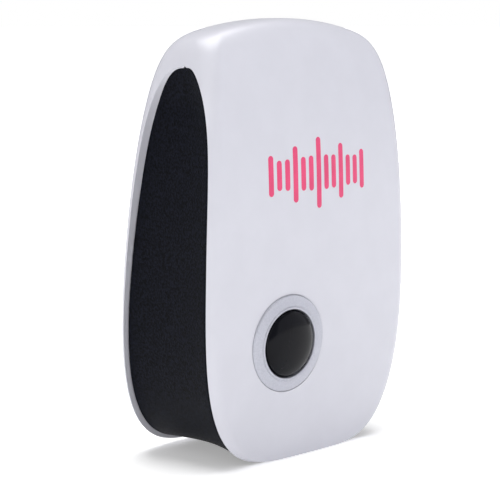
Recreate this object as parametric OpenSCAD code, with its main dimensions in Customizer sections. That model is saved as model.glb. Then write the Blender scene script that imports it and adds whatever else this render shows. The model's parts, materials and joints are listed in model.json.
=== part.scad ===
// Plug-in ultrasonic pest repeller: white front and rear covers, black side band, one push button.
// Millimetres. +Z up, the front faces -Y. The base stands at z = 0, the case is centred on X, and the
// whole unit, from the button's dome to the tips of the plug blades, is centred on Y.

/* [Body] */
// width across the rim of the front cover, along X
body_w = 60; // [59:0.5:61]
// depth of the case without the blades, along Y
body_d = 30; // [29.5:0.5:31]
// overall height, along Z
body_h = 90; // [89:0.5:92]
// wall thickness of the two covers
wall = 2; // [1.8:0.1:2.2]
// radius that rounds the vertical edges of the covers
edge_r = 4; // [3.6:0.1:4.4]
// thickness of the front cover's rim where it meets the band
rim = 1.06; // [0.9:0.02:1.2]
// height at which the body is widest
wide_z = 33.6; // [32:0.4:36]
// gap at the seam between the covers
seam_gap = 0.06; // [0.04:0.02:0.2]

/* [Side band] */
// depth of the band below the front cover's rim
band_dip = 0.1; // [0.05:0.05:0.3]
// extra depth of the hollow across the band
band_waist = 2.35; // [2:0.05:2.5]
// thickness of the band
band_t = 1.6; // [1.4:0.1:1.7]
// top of the black arch on the sides
arch_top = 83.6; // [82.8:0.2:84]
// gap between the band and the cover edges
band_gap = 0.15; // [0.1:0.05:0.25]
// number of sound slots in the base
slot_count = 5; // [3:1:5]

/* [Button] */
// button centre, X
button_x = -8.75; // [-9.75:0.25:-7]
// button centre, Z
button_z = 24.55; // [23.55:0.25:26]
// outer radius of the silver ring
ring_r = 9.98; // [9.6:0.02:10.2]
// radius of the button
cap_r = 6.8; // [6.4:0.1:6.9]
// height of the button dome
cap_rise = 1.9; // [1.2:0.1:2.4]

/* [Plug] */
// height of the blade centres
plug_z = 43; // [42:0.5:44]
// spacing of the blade centres
blade_pitch = 12.7; // [12.6:0.05:12.8]
// blade width
blade_w = 6.35; // [6.1:0.05:6.6]
// blade thickness
blade_t = 1.52; // [1.4:0.02:1.6]
// free length of the blades
blade_len = 17; // [15.9:0.1:18.3]

/* [Board] */
// board width, along X
board_w = 44; // [43:0.5:45]
// lower edge of the board
board_z0 = 19; // [18.5:0.5:19.5]
// upper edge of the board
board_z1 = 62; // [61.5:0.5:63]
// board thickness
board_t = 1.6; // [1.2:0.1:1.6]

/* [Hidden] */
$fn = 48;
dome_out = 1.55;
mid = (dome_out - blade_len) / 2;
face_y = mid - body_d / 2;
back_face = mid + body_d / 2;
ridge_y = face_y + 12.25;
rim_inset = edge_r - sqrt(pow(edge_r, 2) - pow(edge_r - rim, 2));
side_w = body_w / 2 + rim_inset;
front_z = 40.8;
arch_y = face_y + 10.25;
seam_y = ridge_y + 0.6;
board_y = mid - 3.3;
board_back = board_y + board_t;
bore_r = cap_r + 0.3;
boss_y = mid + 1;
seat_y = mid + 4;
button_tilt = 3.7;
button_yaw = -1.7;
switch_x = button_x + 0.2;
switch_z = button_z + 0.45;
case_points = [[-17, 13.5], [17, 13.5], [-17, 70], [17, 70]];
board_points = [[-18.5, 36], [18.5, 23], [-18.5, 58], [18.5, 58]];

function unit(v) = min(max(v, 0), 1);
function fall(u, a, b) = pow(1 - pow(min(unit(u), 0.9999), a), 1 / b);
function shut(u, a, b) = 1 - pow(1 - pow(unit(u), a), 1 / b);
function spread(a, b, n) = [for (i = [0:n]) a + (b - a) * (1 - cos(180 * i / n)) / 2];

// Half width and the front and back lines of the body at height z, g inside the outer surface.
function half_w(z, g) = (side_w - g) * (z > wide_z
    ? fall((z - wide_z) / (body_h - g - wide_z), 16, 16)
    : fall((wide_z - z) / (wide_z - g), 4.36, 4.36));
function front_y(z, g) = ridge_y
    + (face_y + g - ridge_y) * fall((z - front_z) / (body_h - g - front_z), 2.6, 3.87)
    + 2.35 * pow(unit((front_z - z) / front_z), 2);
function back_y(z, g) = ridge_y
    + (back_face - g - ridge_y) * fall((z - 1) / (body_h - g - 1), 0.972, 3.55);

// The sides taper towards top and base, the top drops towards the sides and the front is crowned.
function bend(p) = let (
    n = pow(2 * p[0] / body_w, 2),
    t = pow(unit((p[2] - wide_z) / (body_h - wide_z)), 2),
    b = pow(unit((wide_z - p[2]) / wide_z), 2),
    f = unit((back_face - p[1]) / body_d)
) [
    p[0] * (1 - 0.16 * (t + b)),
    p[1] + 1.63 * n * f,
    p[2] - 3.72 * n * t - 1.48 * n * b
];
function settle(p) = [p[0], p[1], max(p[2], 0)];

function corner(x, y, r, a) = [for (k = [0:4]) [x + r * cos(a + 22.5 * k), y + r * sin(a + 22.5 * k)]];
function outline(w, f, b, r) = concat(
    corner(-w + r, f + r, r, 180),
    [for (k = [-2:2]) [(w - r) * k / 3, f]],
    corner(w - r, f + r, r, 270),
    corner(w - r, b - r, r, 0),
    [for (k = [2:-1:-2]) [(w - r) * k / 3, b]],
    corner(-w + r, b - r, r, 90)
);
function body_ring(z, g) = let (
    w = half_w(z, g),
    f = front_y(z, g),
    b = back_y(z, g),
    r = min(max(edge_r - g, 0.8), (b - f) / 2 - 0.02)
) [for (p = outline(w, f, b, r)) settle(bend([p[0], p[1], z]))];

// Front and back edges of the arch that the covers leave open on each side, and the band in it.
function arch_front(z) = let (y = front_y(z, 0) + rim)
    y + (arch_y - y) * shut((z - 20) / (arch_top - 20), 8.5, 2.63);
function arch_back(z) = let (y = back_y(z, 0) - 2.52 - 0.557 * z / 45)
    y + (arch_y - y) * shut((z - 23.8) / (arch_top - 23.8), 12, 3.03);
function dip(s) = band_dip + band_waist * (1 - pow(1 - s, 3.6)) * (1 - 0.27 * s * s);
function band_point(s, t, top, g, m) = let (
    d = dip(s) + g,
    z = d + (top - d) * t,
    f = arch_front(z) + m,
    b = arch_back(z) - m
) [half_w(z, d) - rim_inset * pow(1 - s, 4), f + (b - f) * s, z];
function band_ring(t, top, g, m) = [for (k = [0:17]) let (
    p = band_point(k < 9 ? k / 8 : (17 - k) / 8, t, top, g, m)
) bend([k < 9 ? p[0] : -p[0], p[1], p[2]])];
function rows() = concat([-2.5, 0, 2, 5, 10], [for (k = [0:15]) 16 + (arch_top - 16.01) * sin(6 * k)]);
function arch_ring(z, m) = let (
    w = half_w(z, -2.6),
    f = arch_front(z) + m,
    b = arch_back(z) - m
) concat([for (k = [-4:4]) bend([w * k / 4, f, z])], [for (k = [4:-1:-4]) bend([w * k / 4, b, z])]);

module skin(rings) {
    n = len(rings[0]);
    m = len(rings);
    last = (m - 1) * n;
    polyhedron(
        points = [for (r = rings) each r],
        faces = concat(
            [for (k = [0:m - 2], i = [0:n - 1]) [k * n + i, k * n + n + i, k * n + n + (i + 1) % n]],
            [for (k = [0:m - 2], i = [0:n - 1]) [k * n + i, k * n + n + (i + 1) % n, k * n + (i + 1) % n]],
            [for (i = [0:n / 2 - 2]) [i, i + 1, n - 1 - i]],
            [for (i = [0:n / 2 - 2]) [i + 1, n - 2 - i, n - 1 - i]],
            [for (i = [0:n / 2 - 2]) [last + i, last + n - 1 - i, last + i + 1]],
            [for (i = [0:n / 2 - 2]) [last + i + 1, last + n - 1 - i, last + n - 2 - i]]
        )
    );
}

module body_solid(g, n = 26) {
    skin([for (z = spread(g, body_h - g, n)) body_ring(z, g)]);
}

module arch_zone(m) {
    skin([for (z = rows()) arch_ring(z, m)]);
}

module band_solid(top, g, m, n) {
    skin([for (t = spread(0, 1, n)) band_ring(t, top, g, m)]);
}

module rod_y(x, z, y0, y1, r) {
    translate([x, y1, z])
        rotate([90, 0, 0])
            cylinder(h = y1 - y0, r = r);
}

module rod(a, b, r) {
    d = b - a;
    translate(a)
        rotate([0, acos(d[2] / norm(d)), atan2(d[1], d[0])])
            cylinder(h = norm(d), r = r);
}

module wire(p, r) {
    for (i = [1:len(p) - 1])
        rod(p[i - 1], p[i], r);
    for (i = [1:len(p) - 2])
        translate(p[i])
            sphere(r = r + 0.03);
}

module at_button() {
    translate(bend([button_x, front_y(button_z, 0), button_z]))
        rotate([90 + button_tilt, 0, button_yaw])
            children();
}

module plate_y(w, h, r, y0, y1) {
    translate([0, y1, 0])
        rotate([90, 0, 0])
            linear_extrude(y1 - y0)
                union() {
                    square([w - 2 * r, h], center = true);
                    square([w, h - 2 * r], center = true);
                    for (x = [-1, 1], z = [-1, 1])
                        translate([x * (w / 2 - r), z * (h / 2 - r)])
                            circle(r);
                }
}

module shell() {
    difference() {
        body_solid(0);
        body_solid(wall, 22);
        difference() {
            arch_zone(0);
            band_solid(87, band_t + 0.2, -12, 20);
        }
    }
}

module front_cover() {
    color("white")
        difference() {
            union() {
                intersection() {
                    shell();
                    translate([-40, -30, -5])
                        cube([80, 30 + seam_y - seam_gap / 2, 110]);
                }
                for (p = case_points)
                    rod_y(p[0], p[1], front_y(p[1], 0) + 1.6, boss_y, 3);
                for (p = board_points)
                    rod_y(p[0], p[1], front_y(p[1], 0) + 1.6, board_y, 2.6);
            }
            for (p = case_points)
                rod_y(p[0], p[1], mid - 8, boss_y + 1, 1.45);
            for (p = board_points)
                rod_y(p[0], p[1], mid - 9.5, board_y + 1, 1.05);
            at_button()
                translate([0, 0, -5])
                    cylinder(h = 10, r = bore_r + 1.05);
            at_button()
                translate([0, 0, -0.8])
                    cylinder(h = 5, r = ring_r + 0.15);
        }
}

module rear_cover() {
    color("white")
        difference() {
            union() {
                intersection() {
                    shell();
                    translate([-40, seam_y + seam_gap / 2, -5])
                        cube([80, 30, 110]);
                }
                for (p = case_points)
                    rod_y(p[0], p[1], boss_y, back_y(p[1], 0) - 1, 4.2);
            }
            for (p = case_points) {
                rod_y(p[0], p[1], boss_y - 1, 20, 1.6);
                rod_y(p[0], p[1], seat_y, 20, 3.1);
            }
            translate([0, 0, plug_z])
                plate_y(26.2, 20.2, 6.1, mid + 6, mid + 20);
        }
}

module side_band() {
    color("#1c1c1f")
        difference() {
            union() {
                difference() {
                    band_solid(arch_top - 0.3, 0, band_gap, 24);
                    band_solid(87, band_t, -12, 20);
                }
                translate([0, mid, 2.3])
                    cylinder(h = 6.7, r = 10.4);
            }
            translate([0, mid, 3.9])
                cylinder(h = 8, r = 9.1);
            for (k = [0:slot_count - 1])
                translate([-6, mid + (k - (slot_count - 1) / 2) * 3 - 0.8, -1])
                    cube([12, 1.6, 6]);
        }
}

module trim_ring() {
    color("#b4b6ba")
        at_button()
            rotate_extrude($fn = 96)
                polygon([
                    [bore_r, -3.2], [bore_r + 1, -3.2], [bore_r + 1, -0.8], [ring_r, -0.8],
                    [ring_r, -0.1], [ring_r - 0.15, 0.08], [ring_r - 0.5, 0.16], [bore_r + 0.5, 0.42],
                    [bore_r + 0.15, 0.4], [bore_r, 0.28]
                ]);
}

module ring_retainer() {
    color("#9a9ca0")
        at_button()
            translate([0, 0, -wall - 0.9])
                difference() {
                    cylinder(h = 0.5, r = 9.9);
                    translate([0, 0, -1])
                        cylinder(h = 3, r = bore_r + 1);
                }
}

module button_cap() {
    color("#101012")
        at_button()
            rotate_extrude($fn = 96)
                polygon(concat(
                    [[0, -7], [1.6, -7], [1.6, 0.4]],
                    [for (k = [0:6]) [1.6 + 4 * k / 6, 0.4 - 0.9 * pow(k / 6, 2)]],
                    [[5.6, -4.4], [cap_r + 0.8, -4.4], [cap_r + 0.8, -3.5], [cap_r, -3.5], [cap_r, 0]],
                    [for (k = [0:12]) [cap_r * cos(7.5 * k), 0.1 + cap_rise * sin(7.5 * k)]]
                ));
}

module switch_plunger() {
    color("#2a2a2d")
        rod_y(switch_x, switch_z, mid - 7.35, mid - 4.9, 1.7);
}

module switch_body() {
    color("#3a3b40")
        difference() {
            translate([switch_x - 3, mid - 6.3, switch_z - 3])
                cube([6, board_y - mid + 6.3, 6]);
            rod_y(switch_x, switch_z, mid - 7, mid - 3.8, 1.8);
        }
}

module switch_legs() {
    color("#c8c8cc")
        for (x = [-3.25, 3.25], z = [-2.25, 2.25])
            translate([switch_x + x - 0.25, board_y - 1.2, switch_z + z - 0.35])
                cube([0.5, 3.6, 0.7]);
}

module front_emblem() {
    color("#b5305e")
        intersection() {
            difference() {
                body_solid(-0.12);
                body_solid(0);
            }
            for (k = [-6:6])
                let (h = 5 + 9.5 * pow(cos(k * 60), 2) * (1 - abs(k) / 9))
                    translate([k * 2.3, mid - 8, 58.8])
                        bar_y(1.35, h);
        }
}

module bar_y(w, h) {
    rotate([90, 0, 0])
        linear_extrude(10)
            union() {
                square([w, h - w], center = true);
                for (s = [-1, 1])
                    translate([0, s * (h - w) / 2])
                        circle(w / 2, $fn = 24);
            }
}

module rating_label() {
    color("#d8d9dc")
        intersection() {
            difference() {
                body_solid(-0.1);
                body_solid(0);
            }
            translate([0, 0, 17])
                plate_y(26, 18, 1.2, mid + 10, mid + 20);
        }
}

module main_board() {
    color("#2f6b3f")
        difference() {
            translate([0, 0, (board_z0 + board_z1) / 2])
                plate_y(board_w, board_z1 - board_z0, 1.5, board_y, board_back);
            for (p = board_points)
                rod_y(p[0], p[1], board_y - 1, board_back + 1, 1.3);
            for (x = [-3.25, 3.25], z = [-2.25, 2.25])
                translate([switch_x + x - 0.3, board_y - 1, switch_z + z - 0.4])
                    cube([0.6, 4, 0.8]);
        }
}

module indicator_leds() {
    color("#c03a34")
        for (x = [-5.6, 5.6])
            translate([switch_x + x, board_y, switch_z])
                rotate([90, 0, 0])
                    rotate_extrude()
                        polygon(concat(
                            [[0, 0], [1.7, 0], [1.7, 0.8], [1.5, 0.8], [1.5, 2.8]],
                            [for (k = [1:6]) [1.5 * cos(15 * k), 2.8 + 1.5 * sin(15 * k)]]
                        ));
}

module transducer_cup() {
    color("#b9bcc2")
        translate([0, mid, 4])
            difference() {
                cylinder(h = 8.6, r = 8);
                translate([0, 0, 0.7])
                    cylinder(h = 9, r = 7.4);
                translate([0, 0, -1])
                    cylinder(h = 3, r = 1.1);
                for (a = [0:60:300])
                    rotate(a)
                        translate([4.4, 0, -1])
                            cylinder(h = 3, r = 1.3);
            }
}

module piezo_element() {
    color("#d9cfae")
        translate([0, mid, 0])
            rotate_extrude()
                polygon([[0, 7.6], [1.2, 7.2], [4.6, 5.6], [4.9, 5.7], [1.6, 8.4], [5.4, 8.4], [5.4, 9.4], [0, 9.4]]);
}

module transducer_base() {
    color("#3b2b22")
        translate([0, mid, 9.4])
            cylinder(h = 2.9, r = 7.35);
}

module transducer_gasket() {
    color("#26272a")
        translate([0, mid, 4.2])
            difference() {
                cylinder(h = 7, r = 9.05);
                translate([0, 0, -1])
                    cylinder(h = 10, r = 8);
            }
}

module transducer_leads() {
    color("#a8322c")
        for (s = [-1, 1])
            wire([
                [s * 2.5, mid, 12.3], [s * 2.5, mid, 16.5], [s * 4, mid + 0.9, 19], [s * 6, mid + 1.2, 21.4],
                [s * 6.5, board_back + 0.22, 22.6]
            ], 0.5);
}

module plug_base() {
    color("#f0f0f2")
        translate([0, 0, plug_z])
            difference() {
                union() {
                    plate_y(26, 20, 6, mid + 6.6, back_face);
                    plate_y(30, 24, 8, mid + 6.6, mid + 8.2);
                }
                for (s = [-1, 1])
                    translate([s * blade_pitch / 2 - blade_t / 2, mid, -blade_w / 2])
                        cube([blade_t, 30, blade_w]);
            }
}

module plug_blades() {
    color("#d6d2c4")
        for (s = [-1, 1])
            translate([s * blade_pitch / 2 - blade_t / 2, 0, plug_z])
                rotate([90, 0, 90])
                    linear_extrude(blade_t)
                        difference() {
                            polygon([
                                [mid + 5, -blade_w / 2], [back_face + blade_len - 1.6, -blade_w / 2],
                                [back_face + blade_len - 0.5, -blade_w / 2 + 0.7],
                                [back_face + blade_len, -blade_w / 2 + 1.8],
                                [back_face + blade_len, blade_w / 2 - 1.8],
                                [back_face + blade_len - 0.5, blade_w / 2 - 0.7],
                                [back_face + blade_len - 1.6, blade_w / 2], [mid + 5, blade_w / 2]
                            ]);
                            translate([back_face + 11.9, 0])
                                circle(1.6);
                        }
}

module contact_strips() {
    color("#c9a24a")
        for (s = [-1, 1])
            translate([s * blade_pitch / 2 - 0.3, board_back, plug_z - 2]) {
                cube([0.6, mid + 5 - board_back, 4]);
                translate([-0.6, 0, 0])
                    cube([1.8, 0.5, 4]);
            }
}

module film_capacitor() {
    color("#c9a227")
        union() {
            translate([11.5, board_back + 0.4, 36])
                cube([6, 7.6, 13]);
            for (z = [37.5, 47.5])
                rod_y(14.5, z, board_back, board_back + 1, 0.4);
        }
}

module electrolytic_capacitors() {
    color("#23314f")
        for (z = [42, 51])
            translate([-16, board_back, z])
                rotate([-90, 0, 0])
                    rotate_extrude()
                        polygon([
                            [0, 0], [3.9, 0], [4, 0.2], [4, 1], [3.75, 1.3], [4, 1.6], [4, 7.8], [3.7, 8.1],
                            [3, 8.1], [2.9, 7.9], [0, 7.9]
                        ]);
}

module driver_coil() {
    color("#8a4a24")
        translate([2.5, board_back, 28.5])
            rotate([-90, 0, 0])
                rotate_extrude()
                    polygon([[0, 0], [4, 0], [4, 1], [3.3, 1.2], [3.3, 6.2], [4, 6.4], [4, 7.4], [0, 7.4]]);
}

module timer_chip() {
    color("#1b1b1d")
        difference() {
            translate([-9.5, board_back + 0.5, 52.8])
                cube([19, 3.3, 6.4]);
            rod_y(-9.5, 56, board_back + 3, board_back + 5, 0.9);
        }
}

module chip_legs() {
    color("#c8c8cc")
        for (k = [-3:3], s = [-1, 1])
            translate([k * 2.54 - 0.25, board_back, 56 + s * 3.5 - 0.3])
                cube([0.5, 2.4, 0.6]);
}

module drive_transistors() {
    color("#202022")
        for (x = [11, 17])
            union() {
                difference() {
                    rod_y(x, 30, board_back + 2, board_back + 6.6, 2.3);
                    translate([x - 4, board_back, 31.2])
                        cube([8, 8, 4]);
                }
                for (k = [-1:1])
                    rod_y(x + k * 1.27, 30, board_back, board_back + 2.2, 0.25);
            }
}

module axial(x, z, len, r) {
    rod([x - len / 2, board_back + r + 0.1, z], [x + len / 2, board_back + r + 0.1, z], r);
    rod([x - len / 2 - 1.6, board_back + r + 0.1, z], [x + len / 2 + 1.6, board_back + r + 0.1, z], 0.3);
    for (s = [-1, 1])
        rod_y(x + s * (len / 2 + 1.3), z, board_back, board_back + r + 0.3, 0.3);
}

module fuse_resistor() {
    color("#7d8b86")
        axial(-9, 36.2, 9, 1.8);
}

module resistors() {
    color("#c3a884")
        for (k = [0:3])
            axial(-17, 22.2 + 3.1 * k, 6, 1.05);
}

module rectifier_diodes() {
    color("#2b2b2e")
        for (k = [0:1])
            axial(14.5, 51.4 + 3.2 * k, 4.6, 1.25);
}

module board_screws() {
    color("#a9abb0")
        for (p = board_points)
            difference() {
                union() {
                    rod_y(p[0], p[1], mid - 9, board_back, 1);
                    rod_y(p[0], p[1], board_back, board_back + 1.6, 2.2);
                }
                for (a = [0, 90])
                    translate([p[0], board_back + 1.6, p[1]])
                        rotate([0, a, 0])
                            cube([2.4, 1.6, 0.5], center = true);
            }
}

module case_screws() {
    color("#a9abb0")
        for (p = case_points)
            difference() {
                union() {
                    rod_y(p[0], p[1], mid - 7.5, seat_y, 1.4);
                    rod_y(p[0], p[1], seat_y, seat_y + 1.8, 2.7);
                }
                for (a = [0, 90])
                    translate([p[0], seat_y + 1.8, p[1]])
                        rotate([0, a, 0])
                            cube([3, 1.8, 0.6], center = true);
            }
}

front_cover();
rear_cover();
side_band();
trim_ring();
ring_retainer();
button_cap();
switch_plunger();
switch_body();
switch_legs();
front_emblem();
rating_label();
main_board();
indicator_leds();
transducer_cup();
piezo_element();
transducer_base();
transducer_gasket();
transducer_leads();
plug_base();
plug_blades();
contact_strips();
film_capacitor();
electrolytic_capacitors();
driver_coil();
timer_chip();
chip_legs();
drive_transistors();
fuse_resistor();
resistors();
rectifier_diodes();
board_screws();
case_screws();
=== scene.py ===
import json
import math

import bmesh
import bpy
import numpy as np
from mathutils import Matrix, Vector


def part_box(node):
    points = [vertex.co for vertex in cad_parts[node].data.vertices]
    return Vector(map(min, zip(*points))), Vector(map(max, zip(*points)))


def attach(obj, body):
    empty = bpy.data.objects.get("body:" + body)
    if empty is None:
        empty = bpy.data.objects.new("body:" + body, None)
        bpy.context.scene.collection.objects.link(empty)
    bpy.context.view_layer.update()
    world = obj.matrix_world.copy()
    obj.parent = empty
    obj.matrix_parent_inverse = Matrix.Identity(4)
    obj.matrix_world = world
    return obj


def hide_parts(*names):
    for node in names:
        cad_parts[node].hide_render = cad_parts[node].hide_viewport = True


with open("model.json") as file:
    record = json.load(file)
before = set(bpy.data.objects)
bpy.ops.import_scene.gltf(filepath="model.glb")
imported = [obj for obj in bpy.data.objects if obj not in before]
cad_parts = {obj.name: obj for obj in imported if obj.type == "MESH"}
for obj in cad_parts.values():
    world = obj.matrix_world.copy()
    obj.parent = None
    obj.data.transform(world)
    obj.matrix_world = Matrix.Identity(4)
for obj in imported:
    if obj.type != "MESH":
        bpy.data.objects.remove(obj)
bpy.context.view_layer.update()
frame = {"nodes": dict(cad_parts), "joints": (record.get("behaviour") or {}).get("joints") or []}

# ---------------------------------------------------------------------------------------------------
# Rear cover. White ABS, injection moulded and lightly polished: a deep shell with a flat back that holds
# the plug pad and four screw wells. Its rim is the thin white strip behind the black band.

MM = 0.001
face_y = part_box("front_cover")[0].y / MM
back_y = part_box("plug_base")[1].y / MM
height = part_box("front_cover")[1].z / MM

# Corners and walls, in millimetres. The rim is what the front cover's rolled corner shows ahead of the band.
edge_radius = 4.0
least_radius = 0.8
rim = 1.06
rim_inset = edge_radius - math.sqrt(edge_radius**2 - (edge_radius - rim) ** 2)
half_rim = 30.0
side_x = half_rim + rim_inset
cover_wall = 1.9

# Heights of the widest and the foremost line, and the ridge where front and back meet at the top.
wide_z = 33.6
front_z = 40.8
ridge = face_y + 12.25
face_lean = 2.35

# Powers of the curves of the sides, above and below the widest line, and of the face and the back.
top_curve = (16, 16)
base_curve = (4.36, 4.36)
face_curve = (2.6, 3.87)
back_curve = (0.972, 3.55)

# How far the sides draw in at the top and base, and how far the face and the ends are crowned.
side_taper = 0.16
face_crown = 1.63
top_fall = 3.72
base_fall = 1.48

# The arch that the black band fills: its crown, where its back edge starts to curve, and the rim behind it.
arch_top = 83.6
arch_y = face_y + 10.25
back_arch_z = 23.8
back_arch_curve = (12, 3.03)
rear_rim = 2.52

# The foot: its rounding, the height over which that fades, and how far the rear rim stands off the table.
foot_round = 0.35
foot_height = 2.8
rear_lift = 1.35
lift_height = 16


def unit(v):
    """Kept between 0 and 1."""
    return np.clip(v, 0.0, 1.0)


def fall(u, a, b):
    """From 1 to 0 along a superellipse: (1 - u^a)^(1/b). The larger the powers, the squarer the curve."""
    return (1 - unit(u) ** a) ** (1 / b)


def half_width(z, g=0.0):
    """Half width at height z, g inside the outer surface: squarer above the widest line than below it."""
    above = fall((z - wide_z) / (height - g - wide_z), *top_curve)
    below = fall((wide_z - z) / (wide_z - g), *base_curve)
    return (side_x - g) * np.where(z > wide_z, above, below)


def front_line(z, g=0.0):
    """Side view of the face's middle: it rolls back to the ridge at the top and leans in at the base."""
    roll = fall((z - front_z) / (height - g - front_z), *face_curve)
    return ridge + (face_y + g - ridge) * roll + face_lean * unit((front_z - z) / front_z) ** 2


def back_line(z, g=0.0):
    """Side view of the back face, which slopes forward to the ridge."""
    return ridge + (back_y - g - ridge) * fall((z - 1) / (height - g - 1), *back_curve)


def bend(x, y, z):
    """The sides taper to the top and base, the front is crowned, and the top and base fall to the sides.

    Each shift grows with the square of the distance from the middle."""
    out = (x / half_rim) ** 2
    up = unit((z - wide_z) / (height - wide_z)) ** 2
    low = unit((wide_z - z) / wide_z) ** 2
    front = unit((back_y - y) / (back_y - face_y))
    x2 = x * (1 - side_taper * (up + low))
    y2 = y + face_crown * out * front
    z2 = np.maximum(z - top_fall * out * up - base_fall * out * low, 0)
    return np.stack(np.broadcast_arrays(x2, y2, z2), -1)


def arch_back(z):
    """Back edge of the side arch. The rim behind it widens with height."""
    y = back_line(z) - rear_rim - 0.557 * z / 45
    return y + (arch_y - y) * (1 - fall((z - back_arch_z) / (arch_top - back_arch_z), *back_arch_curve))


def seam_line(z):
    """Parting line of the covers above the arch, from the arch's crown back to the ridge."""
    u = unit((z - arch_top) / (height - arch_top))
    return arch_y + (ridge - arch_y) * u * (2 - u)


def even_rows(curves, low, high, count):
    """Heights from low to high, closer together where the curves bend.

    The curves' changes are summed and cut in equal steps. The curves are sampled evenly, and again more
    closely near both ends and near the arch's crown."""
    t = np.linspace(0, 1, 4001)
    z = np.concatenate([low + (high - low) * t**7, high - (high - low) * t**9, low + (high - low) * t])
    z = np.concatenate([z, arch_top - 10 * t**6, arch_top + 5 * t**6])
    z = np.unique(z[(z >= low) & (z <= high)])
    run = np.concatenate([[0], np.cumsum(np.diff(z) + sum(np.abs(np.diff(c(z))) for c in curves))])
    return np.interp(np.linspace(0, run[-1], count), run, z)


def cover_grid(rows, g, edge, side, columns=54, corner_density=3.0):
    """The skin of one cover: each row runs from edge to edge round the face, as flat, corner arc and side.

    Side is -1 for the front cover and 1 for the rear one. Edge is each row's y at the cover's edge. Corner
    arcs have points that many times as close as the flats."""
    z = (g + rows * (height - 2 * g) / height)[:, None]
    line = (front_line if side < 0 else back_line)(z, g)
    other = (back_line if side < 0 else front_line)(z, g)
    w = half_width(z, g)
    r = np.minimum(np.minimum(max(edge_radius - g, least_radius), np.abs(other - line) / 2), w)
    reach = np.maximum(-side * (edge[:, None] - line), 0)
    flat = w - r
    turn = np.arccos(np.clip(1 - reach / np.maximum(r, 1e-9), 0, 1))
    straight = np.maximum(reach - r, 0)
    across = np.linspace(-1, 1, 2 * columns + 1)[None]
    m = np.abs(across) * (flat + corner_density * r * turn + straight)
    angle = np.minimum(np.maximum(m - flat, 0) / np.maximum(corner_density * r, 1e-9), turn)
    extra = np.maximum(m - flat - corner_density * r * turn, 0)
    x = (np.minimum(m, flat) + r * np.sin(angle)) * np.sign(across)
    inward = r * (1 - np.cos(angle)) + extra
    foot = foot_round - np.sqrt(np.maximum(foot_round**2 - np.maximum(foot_round - inward, 0) ** 2, 0))
    points = bend(x, line - side * inward, z)
    points[..., 2] += foot * unit(1 - z / foot_height) ** 2 * (g == 0)
    points[..., 2] += rear_lift * unit(1 - z / lift_height) ** 2 * (side > 0)
    return points


def edge_lip(outer, inner, k):
    """Points straight in from the outer edge, as deep as the inner skin and level with the edge."""
    lip = inner[:, k].copy()
    lip[:, 1] = outer[:, k, 1]
    return lip


def cover_skins(side, row_count=176, half_seam=0.015):
    """Outer skin, inner skin and the edges between them. Each cover stops half a seam short of the seam."""
    arch = arch_front if side < 0 else arch_back
    rows = even_rows([half_width, front_line, back_line, arch], 0.0, height, row_count)
    edge = np.where(rows < arch_top, arch(rows), seam_line(rows)) - side * half_seam
    outer = cover_grid(rows, 0.0, edge, side)
    inner = cover_grid(rows, cover_wall, edge, side)
    left = np.stack([outer[:, 0], edge_lip(outer, inner, 0), inner[:, 0]], 1)
    right = np.stack([inner[:, -1], edge_lip(outer, inner, -1), outer[:, -1]], 1)
    top = np.stack([outer[-1], inner[-1]], 0)
    return [outer, inner[:, ::-1], left, right, top]


def smooth(piece, angle):
    """Smooth shading, with edges sharper than the angle in degrees kept sharp."""
    piece.data.shade_smooth()
    piece.data.set_sharp_from_angle(angle=math.radians(angle))


def join_grids(name, grids, smooth_angle=34, doubles=0.002):
    """One object from grids of points in millimetres, with the points that coincide merged."""
    points, faces, base = [], [], 0
    for grid in grids:
        m, n = grid.shape[:2]
        index = base + np.arange(m * n).reshape(m, n)
        quads = np.stack([index[:-1, :-1], index[:-1, 1:], index[1:, 1:], index[1:, :-1]], -1)
        points.append(grid.reshape(-1, 3) * MM)
        faces.append(quads.reshape(-1, 4))
        base += m * n
    mesh = bpy.data.meshes.new(name)
    mesh.from_pydata(np.concatenate(points), [], np.concatenate(faces).tolist())
    bm = bmesh.new()
    bm.from_mesh(mesh)
    bmesh.ops.remove_doubles(bm, verts=bm.verts, dist=doubles * MM)
    bmesh.ops.dissolve_degenerate(bm, edges=bm.edges, dist=doubles * MM / 2)
    bmesh.ops.recalc_face_normals(bm, faces=bm.faces)
    bm.to_mesh(mesh)
    bm.free()
    piece = bpy.data.objects.new(name, mesh)
    bpy.context.scene.collection.objects.link(piece)
    smooth(piece, smooth_angle)
    return piece


def turned(profile, centre, axis, count=96):
    """A profile of (radius, height) points turned round an axis through centre."""
    axis = Vector(axis).normalized()
    u = axis.orthogonal().normalized()
    v = axis.cross(u)
    a = np.linspace(0, 2 * np.pi, count + 1)[:, None, None]
    r, h = np.array(profile, float).T[:, None, :, None]
    return np.array(centre) + h * np.array(axis) + r * (np.cos(a) * np.array(u) + np.sin(a) * np.array(v))


def rounded_outline(width, tall, radius, steps=10):
    """Closed outline of a rounded rectangle, as (x, z) points: a quarter arc turned to each corner."""
    a = np.linspace(0, np.pi / 2, steps)
    corner = np.stack([np.cos(a), np.sin(a)], -1) * radius
    points = []
    for k, (sx, sz) in enumerate([(1, 1), (-1, 1), (-1, -1), (1, -1)]):
        turn = np.array([[np.cos(k * np.pi / 2), -np.sin(k * np.pi / 2)],
                         [np.sin(k * np.pi / 2), np.cos(k * np.pi / 2)]])
        points.append(corner @ turn.T + [sx * (width / 2 - radius), sz * (tall / 2 - radius)])
    points = np.concatenate(points)
    return np.vstack([points, points[:1]])


def slab(outline, ys, insets, middle_z):
    """A solid along Y: the outline at each y, drawn in by that inset, and closed at both ends."""
    scale = np.abs(outline).max(0)
    end = np.zeros_like(outline)
    rings = [end] + [outline * (1 - inset / scale) for inset in insets] + [end]
    ys = [ys[0]] + list(ys) + [ys[-1]]
    return np.stack([np.stack([ring[:, 0], np.full(len(ring), y), ring[:, 1] + middle_z], -1)
                     for ring, y in zip(rings, ys)])


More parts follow.
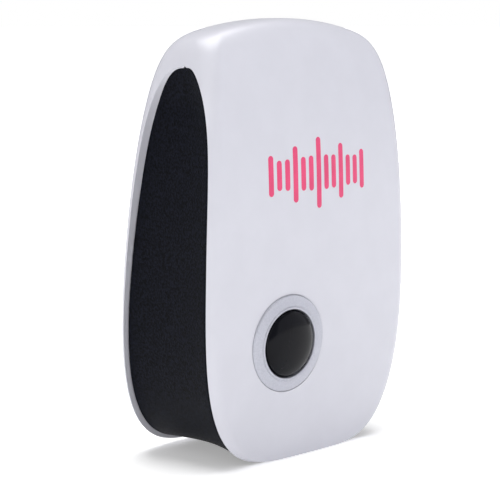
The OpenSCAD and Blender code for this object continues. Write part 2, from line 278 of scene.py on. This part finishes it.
def cut(piece, cutter):
    """Takes the cutter's solid out of the piece."""
    modifier = piece.modifiers.new("cut", "BOOLEAN")
    modifier.object = cutter
    modifier.solver = "EXACT"
    view = bpy.context.evaluated_depsgraph_get()
    mesh = bpy.data.meshes.new_from_object(piece.evaluated_get(view))
    piece.modifiers.clear()
    piece.data = mesh
    bpy.data.objects.remove(cutter)


def linear(code):
    """An sRGB hex colour as linear RGBA."""
    c = np.array([int(code[k:k + 2], 16) for k in (1, 3, 5)]) / 255
    c = np.where(c <= 0.04045, c / 12.92, ((c + 0.055) / 1.055) ** 2.4)
    return (*c.tolist(), 1.0)


def add(material, kind, settings=(), **links):
    """Adds a node, sets its values, and links its inputs; a name's underscores stand for spaces."""
    node = material.node_tree.nodes.new(kind)
    for key, value in dict(settings).items():
        if hasattr(node, key):
            setattr(node, key, value)
        else:
            node.inputs[key].default_value = value
    for key, source in links.items():
        material.node_tree.links.new(source, node.inputs[key.replace("_", " ")])
    return node


def finish_of(name, light, dark, grain, roughness, metallic=0.0, bump=0.02, spread=0.08, level=0.5, patch=12):
    """A moulded, coated or plated finish: two tones in patches of so many grains, and a fine surface grain.

    Grain and bump are the width and the depth of the grain in millimetres. Roughness varies by the spread.
    The noise seldom leaves 0.36 to 0.64, so that stretch of it runs from the one tone to the other."""
    material = bpy.data.materials.new(name)
    material.use_nodes = True
    shader = material.node_tree.nodes["Principled BSDF"]
    shader.inputs["Metallic"].default_value = metallic
    shader.inputs["Specular IOR Level"].default_value = level
    place = add(material, "ShaderNodeTexCoord")
    mottle = add(material, "ShaderNodeTexNoise", {"Scale": 1 / (patch * grain * MM), "Detail": 3.0},
                 Vector=place.outputs["Object"])
    fine = add(material, "ShaderNodeTexNoise", {"Scale": 1 / (grain * MM), "Detail": 2.0},
               Vector=place.outputs["Object"])
    contrast = add(material, "ShaderNodeMapRange", {"From Min": 0.36, "From Max": 0.64},
                   Value=mottle.outputs["Fac"])
    tone = add(material, "ShaderNodeMix", {"data_type": "RGBA"})
    tone.inputs[6].default_value = linear(light)
    tone.inputs[7].default_value = linear(dark)
    material.node_tree.links.new(contrast.outputs["Result"], tone.inputs[0])
    rough = add(material, "ShaderNodeMapRange", {"To Min": roughness - spread, "To Max": roughness + spread},
                Value=fine.outputs["Fac"])
    relief = add(material, "ShaderNodeBump", {"Strength": 1.0, "Distance": bump * MM},
                 Height=fine.outputs["Fac"])
    material.node_tree.links.new(tone.outputs[2], shader.inputs["Base Color"])
    material.node_tree.links.new(rough.outputs["Result"], shader.inputs["Roughness"])
    material.node_tree.links.new(relief.outputs["Normal"], shader.inputs["Normal"])
    return material


def dress(piece, material):
    """Gives a piece one material in place of whatever it had."""
    piece.data.materials.clear()
    piece.data.materials.append(material)


rear_shell = join_grids("rear_shell", cover_skins(1))
pad_low, pad_high = (np.array(corner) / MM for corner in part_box("plug_base"))
plug_z = (pad_low[2] + pad_high[2]) / 2
pad_w = 26
pad_h = 20
pad_corner = 6
pad_play = 0.1
pad_opening = rounded_outline(pad_w + 2 * pad_play, pad_h + 2 * pad_play, pad_corner + pad_play)
screw_low, screw_high = (np.array(corner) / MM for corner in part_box("case_screws"))
head_height = 1.8
head_radius = 2.7
screw_seat = screw_high[1] - head_height
screw_x = screw_high[0] - head_radius
wells = [(x, z) for x in (-screw_x, screw_x)
         for z in (screw_low[2] + head_radius, screw_high[2] - head_radius)]
well_mouth = 3.7
well_cutter = [(0, -3), (well_mouth, -3), (well_mouth, 30), (0, 30)]
cut(rear_shell, join_grids("opening", [slab(pad_opening, [back_y - 8, back_y + 8], [0, 0], plug_z)]))
for x, z in wells:
    cut(rear_shell, join_grids("well", [turned(well_cutter, (x, back_line(z) - 1, z), (0, 1, 0), 48)]))
smooth(rear_shell, 34)

# Polished ABS: an even cool white with a soft sheen and a barely felt orange peel.
white_abs = finish_of("white_moulded_abs", "#C5C5CD", "#C3C3CB", 0.5, 0.33, bump=0.004, spread=0.04)
dress(rear_shell, white_abs)
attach(rear_shell, "case")
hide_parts("rear_cover")

# ---------------------------------------------------------------------------------------------------
# Screw bosses of the rear cover: four tubes of the same white ABS that take the case screws. A well as
# deep as the boss runs in from the back, with the screw's head on its floor.

well_radius = 3.1
boss_radius = 4.2
screw_hole = 1.6
boss_floor = 3


def boss_profile(z):
    """Half section of a boss from the screw's seat: its end follows the back, which slopes with height."""
    rise = back_line(z) - screw_seat
    return [(well_radius, rise - 0.35), (well_radius + 0.4, rise - 0.1), (boss_radius, rise - 0.5),
            (boss_radius, -boss_floor), (screw_hole, -boss_floor), (screw_hole, 0), (well_radius, 0),
            (well_radius, rise - 0.35)]


bosses = join_grids("rear_bosses", [turned(boss_profile(z), (x, screw_seat, z), (0, 1, 0), 48)
                                    for x, z in wells])
dress(bosses, white_abs)
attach(bosses, "case")

# ---------------------------------------------------------------------------------------------------
# Front cover. The same white ABS: a bowed face with a rolled edge, and a round seat for the button.

front_arch_z = 20
front_arch_curve = (8.5, 2.63)


def arch_front(z):
    """Front edge of the side arch: a rim's width behind the face, then over to the crown of the arch."""
    y = front_line(z) + rim
    return y + (arch_y - y) * (1 - fall((z - front_arch_z) / (arch_top - front_arch_z), *front_arch_curve))


press = Vector(frame["joints"][0]["axis"]).normalized()
outward = -press
button_x = -8.75
button_z = 24.55
button_at = bend(button_x, front_line(button_z), button_z)
seat_radius = 10.08
seat_reach = 9
front_shell = join_grids("front_shell", cover_skins(-1))
seat_cutter = [(0, -seat_reach), (seat_radius, -seat_reach), (seat_radius, seat_reach), (0, seat_reach)]
cut(front_shell, join_grids("seat", [turned(seat_cutter, button_at, outward, 128)]))
smooth(front_shell, 34)
dress(front_shell, white_abs)
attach(front_shell, "case")
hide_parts("front_cover")

# ---------------------------------------------------------------------------------------------------
# Side band. Black ABS with a fine spark-eroded grain: one strip that lines the arch on both sides and
# runs under the base, hollowed across its middle, with a rounded shoulder in a groove at the front rim.

band_gap = 0.15
band_wall = 1.6
front_shoulder = 0.8
back_shoulder = 0.4
shoulder_room = 3
edge_step = 0.1
hollow_depth = 2.35
back_rise = 0.27

# The hollow flattens out from this height to the crown, and the back edge swells out below that height.
crown_z = 74
crown_flat = 0.85
back_swell = 0.65
swell_top = 66


def dip(s):
    """How far the band lies below the covers from its front edge, s = 0, to its back edge, s = 1."""
    return edge_step + hollow_depth * (1 - (1 - s) ** 3.6) * (1 - back_rise * s * s)


def band_width(z):
    """Width of the arch at a height."""
    return arch_back(z) - arch_front(z)


def band_section():
    """The closed section as (front offset, back offset, share, depth).

    It runs over the front shoulder, the hollow and the back shoulder, and back along the inner wall."""
    a = np.linspace(0, np.pi / 2, 8)
    front = np.stack([front_shoulder * (1 - np.cos(a)), 0 * a, 0 * a, front_shoulder * (1 - np.sin(a))], -1)
    share = np.linspace(0, 1, 34)[1:-1]
    middle = np.stack([front_shoulder * (1 - share), -back_shoulder * share, share, 0 * share], -1)
    back = np.stack([0 * a, -back_shoulder * (1 - np.cos(a)), 1 + 0 * a, back_shoulder * (1 - np.sin(a))], -1)
    inside = np.array([[0, 0, part, band_wall] for part in (1, 0.66, 0.33, 0)])
    return np.vstack([front, middle, back[::-1], inside, front[:1]])


def band_grid(sign):
    """One half of the band, from the middle of the base to the crown of the arch.

    The section is set between the arch's two edges. The shoulders shrink where there is little room, the
    hollow fades out towards the crown, and the back edge swells out a little low down."""
    low_z = np.linspace(60, arch_top, 4001)
    crown = low_z[np.argmax(band_width(low_z) < 2 * band_gap + 0.02)]
    rows = even_rows([half_width, front_line, arch_front, arch_back], 0.0, crown, 150)[:, None]
    ahead, behind, share, deep = band_section().T
    room = np.maximum(band_width(rows) - 2 * band_gap, 0)
    fit = unit(room / shoulder_room)
    s = (ahead * fit + (room + behind * fit - ahead * fit) * share) / np.maximum(room, 1e-6)
    s = np.where(share == 0, ahead * fit / np.maximum(room, 1e-6), s)
    s = np.where(share == 1, 1 + behind * fit / np.maximum(room, 1e-6), s)
    s = unit(s)
    rise = unit((rows - crown_z) / (crown - crown_z)) ** 1.5
    d = dip(s) * (1 - crown_flat * rise) + deep * np.where(deep < band_wall, fit, 1)
    z = d + (crown - d) * rows / crown
    room = np.maximum(band_width(z) - 2 * band_gap, 0)
    corner = np.maximum(edge_radius - (arch_front(z) - front_line(z)), 0)
    inset = edge_radius - np.sqrt(edge_radius**2 - corner**2)
    swell = back_swell * s**4 * unit((swell_top - z) / 34) * unit(z / 6)
    x = np.maximum(half_width(z, d) - inset * (1 - s) ** 4 + swell, 0)
    return bend(sign * x, arch_front(z) + band_gap + room * s, z)


# Five sound slots run across the base, under the transducer. Known fault: the cuts leave blocks of the slot
# cutters in the mesh, and two of them reach 3 mm below the base.
transducer_y = (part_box("transducer_cup")[0].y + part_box("transducer_cup")[1].y) / 2 / MM
slot_count = 5
slot_pitch = 3
slot_half = 0.8
slot_outline = rounded_outline(12, 8, 0.5)
black_band = join_grids("black_band", [band_grid(1), band_grid(-1)], 40)
for k in range(slot_count):
    slot_y = transducer_y + (k - (slot_count - 1) / 2) * slot_pitch
    cut(black_band, join_grids("slot", [
        slab(slot_outline, [slot_y - slot_half, slot_y + slot_half], [0, 0], 1)]))
smooth(black_band, 40)

# Black ABS off a spark-eroded mould: dark patches and lighter specks of the grain, and little gloss.
black_abs = finish_of("black_grained_abs", "#14161F", "#07080B", 0.3, 0.5, bump=0.1, spread=0.12, level=0.04,
                      patch=1.6)
dress(black_band, black_abs)
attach(black_band, "case")
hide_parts("side_band")

# ---------------------------------------------------------------------------------------------------
# Collar of the band: a short black tube moulded on its inside, round the sound slots. It holds the
# transducer's gasket.

collar_bore = 9.1
collar_radius = 10.4
collar_low = 2.6
collar_high = 9
band_collar = join_grids("band_collar", [turned([
    (collar_bore, collar_low), (collar_bore, collar_high), (collar_radius, collar_high),
    (collar_radius, collar_low), (collar_bore, collar_low)], (0, transducer_y, 0), (0, 0, 1), 64)])
dress(band_collar, black_abs)
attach(band_collar, "case")

# ---------------------------------------------------------------------------------------------------
# Trim ring. ABS with a satin silver coat: it lies in the face's round seat, slopes up a little to its
# inner lip, and its bushing guides the button. A spring washer holds it from behind.

ring_radius = 10.02
bore = 7.1
bushing_radius = 8.1
bushing_depth = 3.2
flange_depth = 0.8
outer_round = 0.3
slope_start = 0.13
slope_width = 1.95
slope_rise = 0.3
lip_half = 0.3
lip_height = 0.38
lip_round = 0.22
lip = np.linspace(0, np.pi, 9)
outer_edge = np.linspace(0, np.pi / 2, 7)
ring_profile = [(bore, -bushing_depth), (bushing_radius, -bushing_depth), (bushing_radius, -flange_depth),
                (ring_radius, -flange_depth)]
ring_profile += [(ring_radius - outer_round + outer_round * math.cos(a), -0.2 + 0.33 * math.sin(a))
                 for a in outer_edge]
ring_profile += [(ring_radius - outer_round - slope_width * t, slope_start + slope_rise * t**1.2)
                 for t in np.linspace(0.1, 1, 12)]
ring_profile += [(bore + lip_half + lip_half * math.cos(a), lip_height + lip_round * math.sin(a))
                 for a in lip]
ring_profile += [(bore, -bushing_depth)]
silver_ring = join_grids("silver_ring", [turned(ring_profile, button_at, outward, 192)], 50)

# Sprayed silver lacquer over ABS: a grey satin with the sparkle of its metal flakes.
silver_coat = finish_of("satin_silver_coat", "#B0B1BA", "#A6A7B1", 0.2, 0.4, metallic=0.35, bump=0.018,
                        patch=1.6)
dress(silver_ring, silver_coat)
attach(silver_ring, "case")
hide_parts("trim_ring")

# Bright spring steel: mid grey and plainly metallic.
spring_steel = finish_of("bright_spring_steel", "#9A9CA0", "#8E9095", 0.3, 0.3, metallic=1.0, bump=0.004)
dress(frame["nodes"]["ring_retainer"], spring_steel)

# ---------------------------------------------------------------------------------------------------
# Button. Black ABS, polished: a shallow dome with a skirt, and a stem that presses the switch.

dome_radius = 6.8
dome_rise = 1.9
stem_radius = 1.6
stem_length = 7
skirt_radius = dome_radius + 0.8
skirt_low = -4.4
skirt_high = -3.5
web = 4
arc = np.linspace(0, np.pi / 2, 40)
dome_profile = [(0, -stem_length), (stem_radius, -stem_length), (stem_radius, 0)]
dome_profile += [(stem_radius + web * t, -0.5 * t * t) for t in np.linspace(0, 1, 6)[1:]]
dome_profile += [(stem_radius + web, skirt_low), (skirt_radius, skirt_low), (skirt_radius, skirt_high),
                 (dome_radius, skirt_high)]
dome_profile += [(dome_radius * math.cos(a), 0.1 + dome_rise * math.sin(a)) for a in arc]
button_dome = join_grids("button_dome", [turned(dome_profile, button_at, outward, 192)], 50)

# Highly polished black ABS: nearly a mirror, and smooth at any distance.
polished_black = finish_of("polished_black_abs", "#0A0A0F", "#0D0E13", 0.8, 0.14, bump=0.0005, spread=0.02,
                           level=0.11)
dress(button_dome, polished_black)
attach(button_dome, "button")
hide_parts("button_cap")

# ---------------------------------------------------------------------------------------------------
# Front mark. A generic row of sound-wave bars, pad printed in pink ink a few hundredths thick.


def skin_point(x, z, line, lift):
    """The point of the front or back face that lies at a given x and z, lifted off the face.

    The bend moves a point sideways, so its start is corrected by what it missed until it lands."""
    x0, z0 = x, z
    for _ in range(6):
        point = bend(x0, line(z0), z0)
        x0 = x0 + x - point[..., 0]
        z0 = z0 + z - point[..., 2]
    point = bend(x0, line(z0), z0)
    point[..., 1] += lift
    return point


def border(grid):
    """The edge of a grid, once round."""
    return np.concatenate([grid[0], grid[1:, -1], grid[-1, ::-1][1:], grid[::-1, 0][1:]])


def skin_patch(x, z, line, low, high):
    """A thin closed film on a face: its top, its underside and the edge between them."""
    top = skin_point(x, z, line, high)
    under = skin_point(x, z, line, low)
    return [top, under[:, ::-1], np.stack([border(top), border(under)], 0)]


mark_z = (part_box("front_emblem")[0].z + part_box("front_emblem")[1].z) / 2 / MM
bar_pitch = 2.3
bar_half = 0.675
bars_each_side = 6
bar_short = 5
bar_extra = 9.5
ink_under = 0.04
ink_top = -0.03
ink = []
across = np.sin(np.linspace(-np.pi / 2, np.pi / 2, 13))[None]
along = np.linspace(-1, 1, 41)[:, None]
for k in range(-bars_each_side, bars_each_side + 1):
    tall = bar_short + bar_extra * math.cos(math.radians(60 * k)) ** 2 * (1 - abs(k) / 9)
    end = tall / 2 - bar_half + np.sqrt(np.maximum(bar_half**2 * (1 - across**2), 1e-5))
    ink += skin_patch(k * bar_pitch + bar_half * across + 0 * along, mark_z + along * end, front_line,
                      ink_under, ink_top)
wave_mark = join_grids("wave_mark", ink, 40, 0.0005)

# Pad printing ink: an even, slightly matt pink.
pink_ink = finish_of("pad_printed_pink_ink", "#D8356B", "#CE2F64", 0.25, 0.38, bump=0.003)
dress(wave_mark, pink_ink)
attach(wave_mark, "case")
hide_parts("front_emblem")

# ---------------------------------------------------------------------------------------------------
# Rating label. Satin silver polyester film, blank, stuck on the back below the plug.

label_low, label_high = (np.array(corner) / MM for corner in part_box("rating_label"))
label_w = label_high[0] - label_low[0]
label_h = label_high[2] - label_low[2]
label_z = (label_low[2] + label_high[2]) / 2
corner_radius = 1.2
film_under = -0.03
film_top = 0.08
across = np.linspace(-1, 1, 61)[None]
along = np.linspace(-1, 1, 41)[:, None]
over = np.maximum(np.abs(across) * label_w / 2 - (label_w / 2 - corner_radius), 0)
half_h = label_h / 2 - corner_radius + np.sqrt(np.maximum(corner_radius**2 - over**2, 1e-4))
label_film = join_grids("label_film", skin_patch(
    across * label_w / 2 + 0 * along, label_z + along * half_h, back_line, film_under, film_top), 40, 0.0005)

# Metallised polyester under a satin varnish: a flat pale grey.
silver_film = finish_of("satin_polyester_film", "#C9CACE", "#C0C1C6", 0.4, 0.4, metallic=0.3, bump=0.002)
dress(label_film, silver_film)
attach(label_film, "case")
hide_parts("rating_label")

# ---------------------------------------------------------------------------------------------------
# Plug pad. White ABS in the opening of the back, with a rounded edge and the two slots for the blades,
# and a flange inside the cover.

flange_lap = 2
pad_outline = rounded_outline(pad_w, pad_h, pad_corner, 14)
flange_outline = rounded_outline(pad_w + 2 * flange_lap, pad_h + 2 * flange_lap, pad_corner + flange_lap, 14)
flange_y = pad_low[1]
flange_wall = 1.6
pad_shell = join_grids("plug_pad", [slab(
    pad_outline, [flange_y + flange_wall, back_y - 0.5, back_y - 0.15, back_y], [0, 0, 0.15, 0.5], plug_z)])
pad_flange = join_grids("pad_flange", [
    slab(flange_outline, [flange_y, flange_y + flange_wall], [0, 0], plug_z)])
blade_low, blade_high = (np.array(corner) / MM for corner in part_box("plug_blades"))
half_blade = 0.76
slot_width = 2 * half_blade + 0.04
slot_tall = blade_high[2] - blade_low[2] + 0.04
for sign in (-1, 1):
    x = sign * (blade_high[0] - half_blade)
    cut(pad_shell, join_grids("blade_slot", [slab(
        rounded_outline(slot_width, slot_tall, 0.1, 3) + [x, 0], [back_y - 3, back_y + 3], [0, 0], plug_z)]))
smooth(pad_shell, 34)
for piece in (pad_shell, pad_flange):
    dress(piece, white_abs)
    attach(piece, "case")
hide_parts("plug_base")

# ---------------------------------------------------------------------------------------------------
# Blades and contact strips. The blades are brass with a nickel plate, and the strips that run from them
# to the board are bare rolled brass.

nickel = finish_of("nickel_plated_brass", "#C9C5B8", "#BDB9AD", 0.35, 0.22, metallic=1.0, bump=0.003)
brass = finish_of("rolled_brass", "#C9A24A", "#BC9744", 0.3, 0.3, metallic=1.0, bump=0.004)
dress(frame["nodes"]["plug_blades"], nickel)
dress(frame["nodes"]["contact_strips"], brass)

# ---------------------------------------------------------------------------------------------------
# Switch. A tactile switch behind the button, in black nylon, with tinned brass legs soldered through
# the board. The chip's legs have the same tin.

switch_nylon = finish_of("black_switch_nylon", "#2A2A2D", "#232326", 0.3, 0.5, bump=0.006)
tin = finish_of("tinned_brass", "#C8C8CC", "#B9BABF", 0.3, 0.25, metallic=1.0, bump=0.004)
dress(frame["nodes"]["switch_plunger"], switch_nylon)
dress(frame["nodes"]["switch_body"], switch_nylon)
dress(frame["nodes"]["switch_legs"], tin)
dress(frame["nodes"]["chip_legs"], tin)

# ---------------------------------------------------------------------------------------------------
# Circuit board and lights. Glass epoxy under green solder mask, and two red LEDs with clear domes.

solder_mask = finish_of("green_solder_mask", "#2F6B3F", "#2A6139", 0.8, 0.35, bump=0.006)
red_lens = finish_of("red_epoxy_lens", "#C03A34", "#B0332E", 0.6, 0.12, bump=0.001)
dress(frame["nodes"]["main_board"], solder_mask)
dress(frame["nodes"]["indicator_leds"], red_lens)

# ---------------------------------------------------------------------------------------------------
# Ultrasonic transducer. A drawn aluminium cup on a phenolic paper base, with a ceramic disc and cone
# inside, a rubber gasket round it and two leads in red PVC.

aluminium = finish_of("drawn_aluminium", "#B9BCC2", "#AFB2B8", 0.3, 0.35, metallic=1.0, bump=0.004)
ceramic = finish_of("fired_piezo_ceramic", "#D9CFAE", "#CDC3A2", 0.2, 0.65, bump=0.01)
phenolic = finish_of("brown_phenolic_paper", "#3B2B22", "#33251D", 0.4, 0.55, bump=0.008)
rubber = finish_of("moulded_rubber", "#26272A", "#202124", 0.3, 0.75, bump=0.012)
red_pvc = finish_of("red_wire_pvc", "#A8322C", "#9C2E28", 0.4, 0.4, bump=0.002)
dress(frame["nodes"]["transducer_cup"], aluminium)
dress(frame["nodes"]["piezo_element"], ceramic)
dress(frame["nodes"]["transducer_base"], phenolic)
dress(frame["nodes"]["transducer_gasket"], rubber)
dress(frame["nodes"]["transducer_leads"], red_pvc)

# ---------------------------------------------------------------------------------------------------
# Mains supply. A boxed film capacitor, electrolytics in shrink sleeves, a cement coated fuse resistor,
# and diodes in matt black epoxy.

yellow_box = finish_of("yellow_capacitor_box", "#C9A227", "#BE9924", 0.5, 0.35, bump=0.004)
blue_sleeve = finish_of("blue_shrink_sleeve", "#23314F", "#1F2C48", 0.6, 0.25, bump=0.002)
cement = finish_of("cement_coating", "#7D8B86", "#72807B", 0.25, 0.6, bump=0.01)
matt_epoxy = finish_of("matt_epoxy", "#202022", "#1A1A1C", 0.2, 0.6, bump=0.008)
dress(frame["nodes"]["film_capacitor"], yellow_box)
dress(frame["nodes"]["electrolytic_capacitors"], blue_sleeve)
dress(frame["nodes"]["fuse_resistor"], cement)
dress(frame["nodes"]["rectifier_diodes"], matt_epoxy)

# ---------------------------------------------------------------------------------------------------
# Oscillator and driver. A coil of enamelled copper, the timer chip and transistors in matt epoxy, and
# resistors in tan lacquer.

copper = finish_of("enamelled_copper", "#8A4A24", "#7C4220", 0.15, 0.3, metallic=0.4, bump=0.03)
tan_lacquer = finish_of("tan_resistor_lacquer", "#C3A884", "#B89D7A", 0.4, 0.35, bump=0.003)
dress(frame["nodes"]["driver_coil"], copper)
dress(frame["nodes"]["timer_chip"], matt_epoxy)
dress(frame["nodes"]["drive_transistors"], matt_epoxy)
dress(frame["nodes"]["resistors"], tan_lacquer)

# ---------------------------------------------------------------------------------------------------
# Screws. Zinc plated steel with a cross recess: four hold the board, and four close the case.

zinc = finish_of("zinc_plated_steel", "#A9ABB0", "#9C9EA4", 0.25, 0.3, metallic=1.0, bump=0.004)
dress(frame["nodes"]["board_screws"], zinc)
dress(frame["nodes"]["case_screws"], zinc)

# ---------------------------------------------------------------------------------------------------
# The hidden solids that the shells above stand for have the same finishes.

for node, material in [
    ("rear_cover", white_abs),
    ("front_cover", white_abs),
    ("plug_base", white_abs),
    ("side_band", black_abs),
    ("trim_ring", silver_coat),
    ("button_cap", polished_black),
    ("front_emblem", pink_ink),
    ("rating_label", silver_film),
]:
    dress(frame["nodes"][node], material)

# ---------------------------------------------------------------------------------------------------
# Camera, level with the top of the case and in front of its left side.

camera = bpy.data.objects.new("camera", bpy.data.cameras.new("camera"))
bpy.context.scene.collection.objects.link(camera)
camera.data.lens = 123.8
camera.data.sensor_width = 36
camera.data.clip_start = 0.01
camera.location = Vector((-261.12, face_y - 232.48, 88.85)) * MM
camera_aim = Vector((-0.05, face_y + 19.73, 41.07)) * MM
camera.rotation_euler = (camera_aim - camera.location).to_track_quat("-Z", "Y").to_euler()
bpy.context.scene.camera = camera
bpy.context.scene.view_settings.view_transform = "Standard"

# ---------------------------------------------------------------------------------------------------
# Floor. A wide sheet of white paper with a painted glow: it glows a little, and more so the further it is
# from the case, so that it meets the backdrop with no line.
# Near the case the painted glow is weaker. This keeps the soft shadow there, and the weaker glow darkens the
# floor round the case as painted shade.
# The glow follows the fourth root of the distance in metres, which is 0.447 at 40 mm and 1.13 at 1.6 m.

half_floor = 30
floor_mesh = bpy.data.meshes.new("floor")
floor_mesh.from_pydata([(-half_floor, -half_floor, 0), (half_floor, -half_floor, 0),
                        (half_floor, half_floor, 0), (-half_floor, half_floor, 0)], [], [(0, 1, 2, 3)])
floor = bpy.data.objects.new("floor", floor_mesh)
bpy.context.scene.collection.objects.link(floor)
paper = finish_of("white_paper_floor_painted_glow", "#FFFFFF", "#FEFEFE", 2.0, 0.9, bump=0.0)
paper_shader = paper.node_tree.nodes["Principled BSDF"]
paper_shader.inputs["Emission Color"].default_value = linear("#FFFFFF")
paper_place = add(paper, "ShaderNodeTexCoord")
paper_far = add(paper, "ShaderNodeVectorMath", {"operation": "LENGTH"})
paper.node_tree.links.new(paper_place.outputs["Object"], paper_far.inputs[0])
paper_reach = add(paper, "ShaderNodeMath", {"operation": "POWER"})
paper_reach.inputs[1].default_value = 0.25
paper.node_tree.links.new(paper_far.outputs["Value"], paper_reach.inputs[0])
# Painted light: the floor's glow, weakest next to the case, where it is painted shade round the case.
painted_floor_glow = add(paper, "ShaderNodeMapRange",
                 {"From Min": 0.447, "From Max": 1.13, "To Min": 0.3, "To Max": 1.0},
                 Value=paper_reach.outputs["Value"])
paper.node_tree.links.new(painted_floor_glow.outputs["Result"], paper_shader.inputs["Emission Strength"])
dress(floor, paper)

# ---------------------------------------------------------------------------------------------------
# Room. Its light is a soft dome that is a little brighter in front, on the right and above. Seen
# directly, it is plain white.

world = bpy.data.worlds.new("studio")
bpy.context.scene.world = world
world.use_nodes = True
dome_light = world.node_tree.nodes["Background"]
dome_light.inputs["Color"].default_value = linear("#FDFDFF")
direction = add(world, "ShaderNodeTexCoord")
lean = add(world, "ShaderNodeVectorMath", {"operation": "DOT_PRODUCT"})
lean.inputs[1].default_value = (0.06, -0.08, 0.1)
world.node_tree.links.new(direction.outputs["Generated"], lean.inputs[0])
strength = add(world, "ShaderNodeMath", {"operation": "ADD"})
strength.inputs[1].default_value = 0.2
world.node_tree.links.new(lean.outputs["Value"], strength.inputs[0])
world.node_tree.links.new(strength.outputs[0], dome_light.inputs["Strength"])
backdrop = add(world, "ShaderNodeBackground", {"Strength": 1.0})
backdrop.inputs["Color"].default_value = linear("#FFFFFF")
ray = add(world, "ShaderNodeLightPath")
choice = add(world, "ShaderNodeMixShader")
world.node_tree.links.new(ray.outputs["Is Camera Ray"], choice.inputs[0])
world.node_tree.links.new(dome_light.outputs[0], choice.inputs[1])
world.node_tree.links.new(backdrop.outputs[0], choice.inputs[2])
world.node_tree.links.new(choice.outputs[0], world.node_tree.nodes["World Output"].inputs["Surface"])

# ---------------------------------------------------------------------------------------------------
# Lamps. Soft boxes above, on the left, low on the left, and a wide one in front that the dome reflects.

case_middle = Vector((0, 0, 0.045))


def soft_box(name, place, size, power, tint="#FFFFFF"):
    """A rectangular area light that faces the middle of the case."""
    data = bpy.data.lights.new(name, "AREA")
    data.shape = "RECTANGLE"
    data.size, data.size_y = size
    data.energy = power
    data.color = linear(tint)[:3]
    light = bpy.data.objects.new(name, data)
    bpy.context.scene.collection.objects.link(light)
    light.location = place
    light.rotation_euler = (case_middle - light.location).to_track_quat("-Z", "Y").to_euler()


soft_box("top_light", (0.05, 0.1, 0.9), (0.7, 0.7), 8.4)
soft_box("key_light", (-0.6, -0.35, 0.5), (0.5, 0.5), 0.7)
soft_box("left_fill", (-0.85, -0.2, 0.15), (0.4, 0.4), 2.0)
soft_box("front_window", (0.64, -0.78, 0.42), (1.5, 0.84), 3.2, "#F4F6FF")
